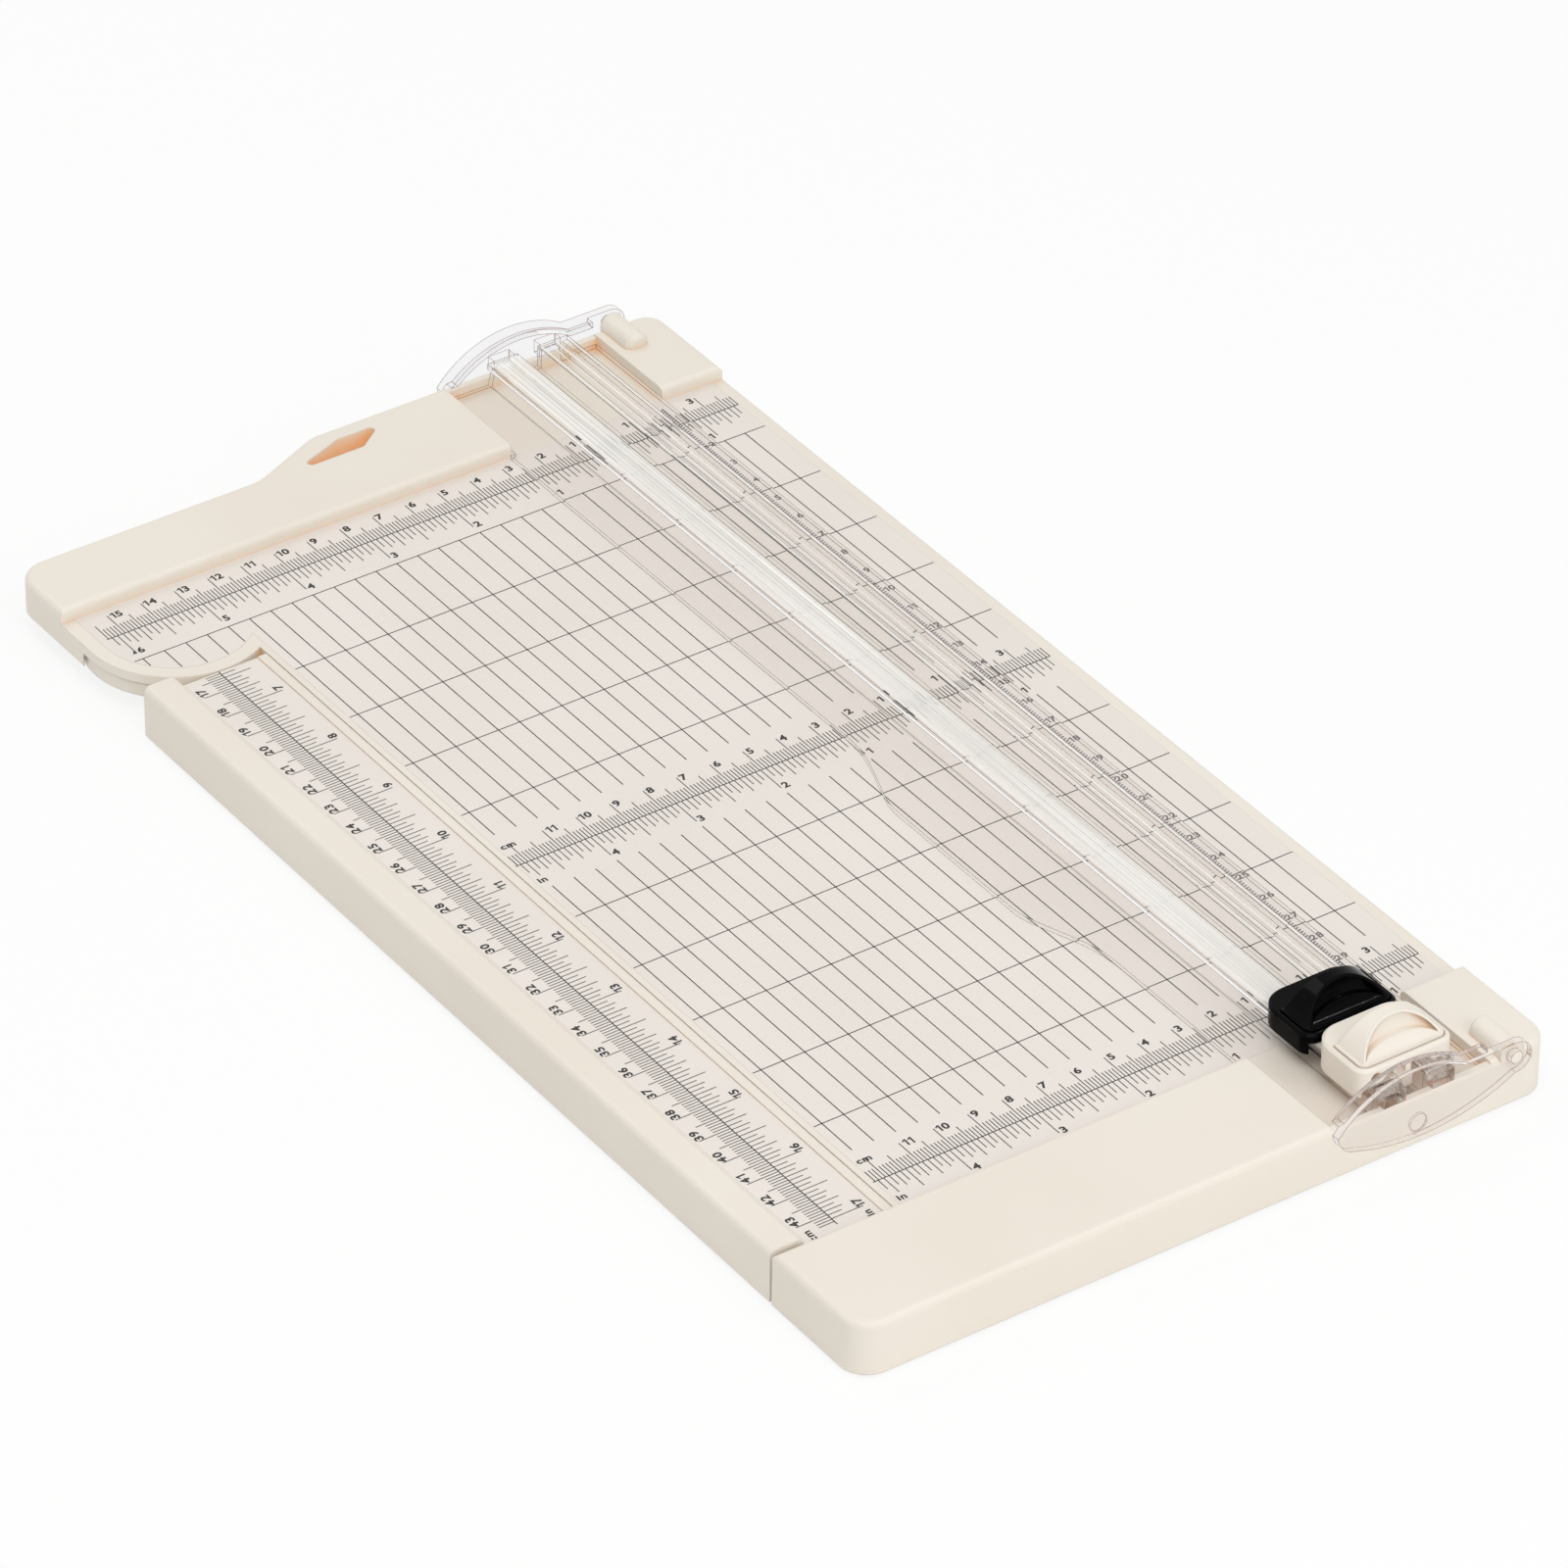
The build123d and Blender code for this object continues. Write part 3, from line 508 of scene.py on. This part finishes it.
# Grid: inch lines across, quarter inch lines along, and short ones that end at the round corner.
QUARTER = INCH / 4
GRID_TOP = BASE_Y - 12.2
GRID_ROWS, MIDDLE_ROW = 11, 5
ROW_LEFT, TOP_ROW_LEFT = -123.0, -154.8
COLUMN_ENDS = ((GRID_TOP, BASE_Y - 125.2), (BASE_Y - 150.9, BASE_Y - 278.6))
COLUMNS, CORNER_COLUMNS = range(-19, 6), range(-24, -19)
CORNER_X, CORNER_Y, CORNER_RADIUS, CORNER_MARGIN = -137.1, -2.8, 20.4, 0.4
POINTER = ((-153.4, -9.3), (-152.0, -9.3), (-152.7, -8.0))
for row in range(GRID_ROWS):
    if row != MIDDLE_ROW:
        y = GRID_TOP - INCH * row
        row_left = ROW_LEFT if row else TOP_ROW_LEFT
        deck.stroke((CUT_X + row_left, y), (CUT_X + PRINT_RIGHT, y), GRID)
for column in COLUMNS:
    if column:
        x = CUT_X + QUARTER * column
        for top, foot in COLUMN_ENDS:
            deck.stroke((x, top), (x, foot), GRID)
for column in CORNER_COLUMNS:
    x = QUARTER * column
    y = CORNER_Y - math.sqrt(CORNER_RADIUS ** 2 - (x - CORNER_X) ** 2) + CORNER_MARGIN
    deck.stroke((CUT_X + x, GRID_TOP), (CUT_X + x, BASE_Y + y), GRID)
deck.add([(CUT_X + x, BASE_Y + y, deck.z) for x, y in POINTER], [(0, 1, 2)])
deck.piece("deck_print", "base", print_ink)

# Scale on the ruler arm, read from its outer side.
ARM_X = CUT_X - 139.7
ARM_REAR, ARM_FRONT = BASE_Y - 27.7, BASE_Y - 300.0
ARM_ZERO = BASE_Y + 134.28
ARM_MM, ARM_SIXTEENTHS = range(163, 434), range(103, 273)
ARM_CMS, ARM_INCHES = range(17, 44), range(7, 18)
ARM_CM_ROW, ARM_INCH_ROW = CUT_X - 148.1, CUT_X - 131.0
ARM_CM_SHIFT, ARM_INCH_SHIFT = 2.15, 1.6
ARM_CM_WORD = (CUT_X - 147.6, BASE_Y - 300.2)
ARM_IN_WORD = (CUT_X - 131.2, BASE_Y - 300.6)
SIDEWAYS = math.radians(90)
arm = Marks(arm_high.z + INK_LIFT)
arm.stroke((ARM_X, ARM_REAR), (ARM_X, ARM_FRONT), BASELINE)
for step in ARM_MM:
    y = ARM_ZERO - step
    arm.stroke((ARM_X, y), (ARM_X - tick_reach(step, CM_TICKS), y), TICK)
for step in ARM_SIXTEENTHS:
    y = ARM_ZERO - step * SIXTEENTH
    arm.stroke((ARM_X, y), (ARM_X + tick_reach(step, INCH_TICKS), y), TICK)
for number in ARM_CMS:
    place = (ARM_CM_ROW, ARM_ZERO - CM * number + ARM_CM_SHIFT)
    arm.words(str(number), place, DIGIT, SIDEWAYS)
for number in ARM_INCHES:
    place = (ARM_INCH_ROW, ARM_ZERO - INCH * number + ARM_INCH_SHIFT)
    arm.words(str(number), place, DIGIT, SIDEWAYS)
arm.words("cm", ARM_CM_WORD, UNIT, SIDEWAYS)
arm.words("in", ARM_IN_WORD, UNIT, SIDEWAYS)
arm.piece("arm_print", "arm", print_ink)

# Moulded ruler on the rail's clear flange: slanted ridges for millimetres and numbers for centimetres.
FLANGE_TOP = rail_low.z + 1.6
RULER_Y = BASE_Y + 6.0
RULER_CM = 30
RULER_MM = range(-316, 1)
RIDGE_LEFT, RIDGE_RIGHT = CUT_X + 15.8, CUT_X + 18.6
RIDGE_SLANT, RIDGE_WIDTH, RIDGE_HEIGHT = 0.35, 0.6, 0.22
RULER_DIGIT_X, RULER_DIGIT = CUT_X + 20.2, 2.2
flange = Marks(FLANGE_TOP)
for step in RULER_MM:
    y = RULER_Y + step
    start, end = (RIDGE_LEFT, y - RIDGE_SLANT), (RIDGE_RIGHT, y + RIDGE_SLANT)
    flange.ridge(start, end, RIDGE_WIDTH, RIDGE_HEIGHT)
flange.piece("rail_ticks", "rail", mark_plastic)
numbers = Marks(FLANGE_TOP + INK_LIFT)
for number in range(1, RULER_CM + 1):
    numbers.words(str(number), (RULER_DIGIT_X, RULER_Y - CM * number), RULER_DIGIT)
numbers.piece("rail_numbers", "rail", number_film)

# Painted sheen on top of the clear ribs, as streaks at (distance from the cut line, width).
SHEEN_MARGIN = 1.0
LEFT_SHEEN = ((-11.6, 0.5), (-10.7, 1.1), (-8.4, 3.3), (-5.8, 1.7), (-4.5, 0.9), (-3.7, 0.5))
RIGHT_SHEEN = ((3.8, 0.6), (6.3, 0.3), (8.3, 0.7), (11.9, 0.6))
sheen = Marks(rail_high.z + INK_LIFT)
for middle, width in LEFT_SHEEN + RIGHT_SHEEN:
    x = CUT_X + middle
    sheen.stroke((x, rail_low.y + SHEEN_MARGIN), (x, rail_high.y - SHEEN_MARGIN), width)
sheen.piece("rail_sheen", "rail", painted_sheen)

# Painted shade: fine lines on the sharp edges of the clear parts.
SHARP = math.radians(35)
EDGE_RADIUS, RIM_RADIUS = 0.07, 0.11
THIRDS = [math.radians(angle) for angle in (0, 120, 240)]
PRISM = [(0, 1, 4, 3), (1, 2, 5, 4), (2, 0, 3, 5), (2, 1, 0), (3, 4, 5)]


def outline(name, part, body, finish, radius):
    """Three-sided lines of painted shade along the sharp edges of a part, as one piece on a body."""
    shape = bmesh.new()
    shape.from_mesh(nodes[part].data)
    bmesh.ops.remove_doubles(shape, verts=shape.verts, dist=0.001 * MM)
    lines = Marks(0.0)
    for edge in shape.edges:
        if len(edge.link_faces) == 2 and edge.calc_face_angle() > SHARP:
            a, b = (corner.co / MM for corner in edge.verts)
            side = (b - a).orthogonal().normalized() * radius
            way = (b - a).normalized()
            turns = [Matrix.Rotation(angle, 3, way) @ side for angle in THIRDS]
            lines.add([a + turn for turn in turns] + [b + turn for turn in turns], PRISM)
    shape.free()
    lines.piece(name, body, finish)


outline("rail_edge_shade", "rail_track", "rail", painted_edge_shade, EDGE_RADIUS)
outline("front_plate_rim_shade", "front_end_plate", "rail", painted_rim_shade, RIM_RADIUS)
outline("rear_plate_rim_shade", "rear_end_plate", "rail", painted_rim_shade, RIM_RADIUS)


def seen_straight(tree):
    """One for what is seen directly, mirrored or through clear plastic, and nothing for scattered light."""
    path = node(tree, "ShaderNodeLightPath")
    mirrored = node(tree, "ShaderNodeMath", operation="MAXIMUM")
    through = node(tree, "ShaderNodeMath", operation="MAXIMUM")
    fresh = node(tree, "ShaderNodeMath", operation="LESS_THAN")
    fresh.inputs[1].default_value = 0.5
    straight = node(tree, "ShaderNodeMath", operation="MULTIPLY")
    tree.links.new(path.outputs["Is Camera Ray"], mirrored.inputs[0])
    tree.links.new(path.outputs["Is Glossy Ray"], mirrored.inputs[1])
    tree.links.new(mirrored.outputs[0], through.inputs[0])
    tree.links.new(path.outputs["Is Transmission Ray"], through.inputs[1])
    tree.links.new(path.outputs["Diffuse Depth"], fresh.inputs[0])
    tree.links.new(through.outputs[0], straight.inputs[0])
    tree.links.new(fresh.outputs[0], straight.inputs[1])
    return straight.outputs[0]


# Floor: white, and keeps a soft shadow.
FLOOR_HALF = 6.0
FLOOR_GLOW = 0.85
floor_corners = [(x * FLOOR_HALF, y * FLOOR_HALF, 0) for x, y in ((-1, -1), (1, -1), (1, 1), (-1, 1))]
floor_mesh = bpy.data.meshes.new("floor")
floor_mesh.from_pydata(floor_corners, [], [(0, 1, 2, 3)])
floor = bpy.data.objects.new("floor", floor_mesh)
scene.collection.objects.link(floor)
floor_look, tree, shader = material("floor_white")
shader.inputs["Base Color"].default_value = (0.94, 0.94, 0.94, 1.0)
shader.inputs["Roughness"].default_value = 0.9
shader.inputs["Specular IOR Level"].default_value = 0.0
glow = node(tree, "ShaderNodeEmission", Color=(1, 1, 1, 1), Strength=1.0)
part_glow = node(tree, "ShaderNodeMath", operation="MULTIPLY")
part_glow.inputs[1].default_value = FLOOR_GLOW
tree.links.new(seen_straight(tree), part_glow.inputs[0])
either = node(tree, "ShaderNodeMixShader")
tree.links.new(part_glow.outputs[0], either.inputs[0])
tree.links.new(shader.outputs["BSDF"], either.inputs[1])
tree.links.new(glow.outputs["Emission"], either.inputs[2])
tree.links.new(either.outputs["Shader"], tree.nodes["Material Output"].inputs["Surface"])
floor_mesh.materials.append(floor_look)

# Light: an even white room with soft boxes above.
ROOM_GLOW = 0.55
world = bpy.data.worlds.new("studio")
scene.world = world
world.use_nodes = True
tree = world.node_tree
tree.nodes.clear()
room = node(tree, "ShaderNodeBackground", Color=(1.0, 0.99, 0.97, 1.0), Strength=ROOM_GLOW)
white = node(tree, "ShaderNodeBackground", Color=(1, 1, 1, 1), Strength=1.0)
either = node(tree, "ShaderNodeMixShader")
tree.links.new(seen_straight(tree), either.inputs[0])
tree.links.new(room.outputs["Background"], either.inputs[1])
tree.links.new(white.outputs["Background"], either.inputs[2])
output = node(tree, "ShaderNodeOutputWorld")
tree.links.new(either.outputs["Shader"], output.inputs["Surface"])


def soft_box(name, place, size, power):
    """A square lamp aimed at the middle of the object."""
    lamp = bpy.data.lights.new(name, "AREA")
    lamp.shape = "SQUARE"
    lamp.size = size
    lamp.energy = power
    holder = bpy.data.objects.new(name, lamp)
    holder.location = place
    holder.rotation_euler = (Vector((0, 0, 0)) - Vector(place)).to_track_quat("-Z", "Y").to_euler()
    scene.collection.objects.link(holder)
    return holder


soft_box("key_light", (-0.35, -0.7, 1.65), 1.2, 9.6)
soft_box("fill_light", (0.2, -1.6, 0.9), 1.2, 7.0)
soft_box("back_light", (-0.3, 1.2, 1.4), 0.8, 5.0)
# A small lamp that only glossy surfaces mirror.
soft_box("spark_light", (0.9, -0.53, 1.57), 0.08, 7.0).visible_diffuse = False

# Camera: its place, the way it looks, its right, and its focal length for a picture of some width in pixels.
CAMERA_PLACE = Vector((-1.16103, -1.67238, 1.46962))
AHEAD = Vector((0.46707, 0.66660, -0.58094)).normalized()
RIGHT = Vector((0.82236, -0.56890, 0.00839))
FOCAL_PIXELS, WIDTH_PIXELS = 10323.68, 1600
SENSOR_WIDTH = 36.0
eye = bpy.data.cameras.new("camera")
eye.sensor_width = SENSOR_WIDTH
eye.lens = SENSOR_WIDTH * FOCAL_PIXELS / WIDTH_PIXELS
eye.clip_end = 20.0
camera = bpy.data.objects.new("camera", eye)
across = (RIGHT - AHEAD * RIGHT.dot(AHEAD)).normalized()
turn = Matrix((across, across.cross(AHEAD), -AHEAD)).transposed().to_4x4()
camera.matrix_world = Matrix.Translation(CAMERA_PLACE) @ turn
scene.collection.objects.link(camera)
scene.camera = camera
scene.view_settings.view_transform = "Standard"
